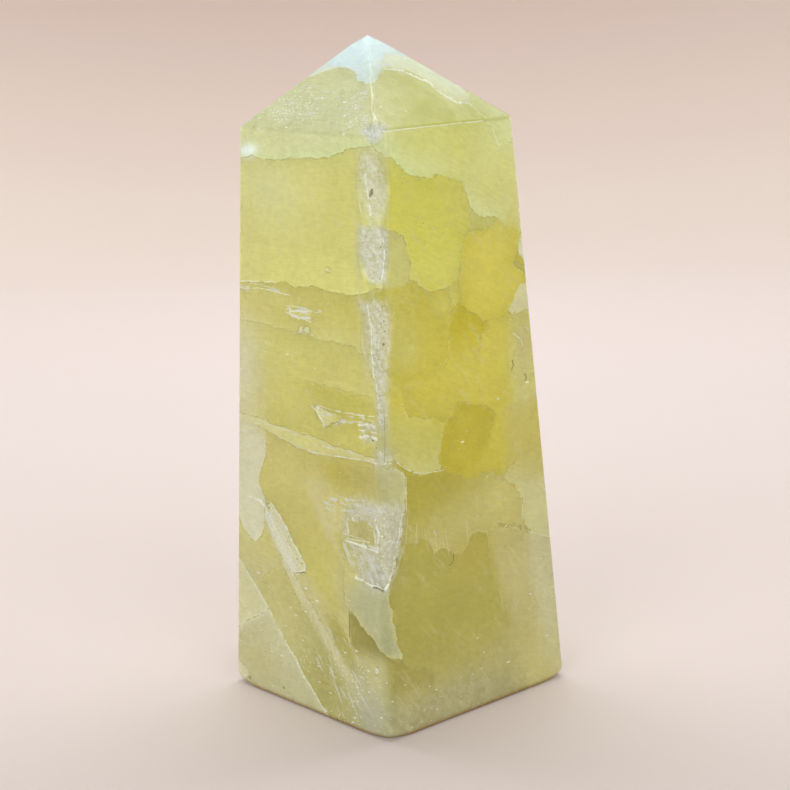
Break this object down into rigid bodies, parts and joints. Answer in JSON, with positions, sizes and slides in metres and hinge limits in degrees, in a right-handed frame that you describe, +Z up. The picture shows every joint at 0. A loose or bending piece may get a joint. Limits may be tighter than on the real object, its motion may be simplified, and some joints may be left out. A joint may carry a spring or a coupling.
{
  "type": "lemon calcite tower",
  "caption": "Polished obelisk of banded lemon-yellow calcite with a blunt pyramid point, standing on a flat base as a display stone.",
  "frame": {"origin": "centre of the flat base, on the surface that the stone stands on", "axes": "+Z up towards the point; the worn upright edge that the picture shows in front is at -X, -Y, between the side facing -X and the side facing -Y"},
  "size_m": [0.0374, 0.036, 0.0995],
  "materials": {
    "lemon_calcite": "polished, slightly translucent, with rough white patches"
  },
  "bodies": {
    "root": {"calcite_tower": "lemon_calcite"}
  },
  "joints": []
}
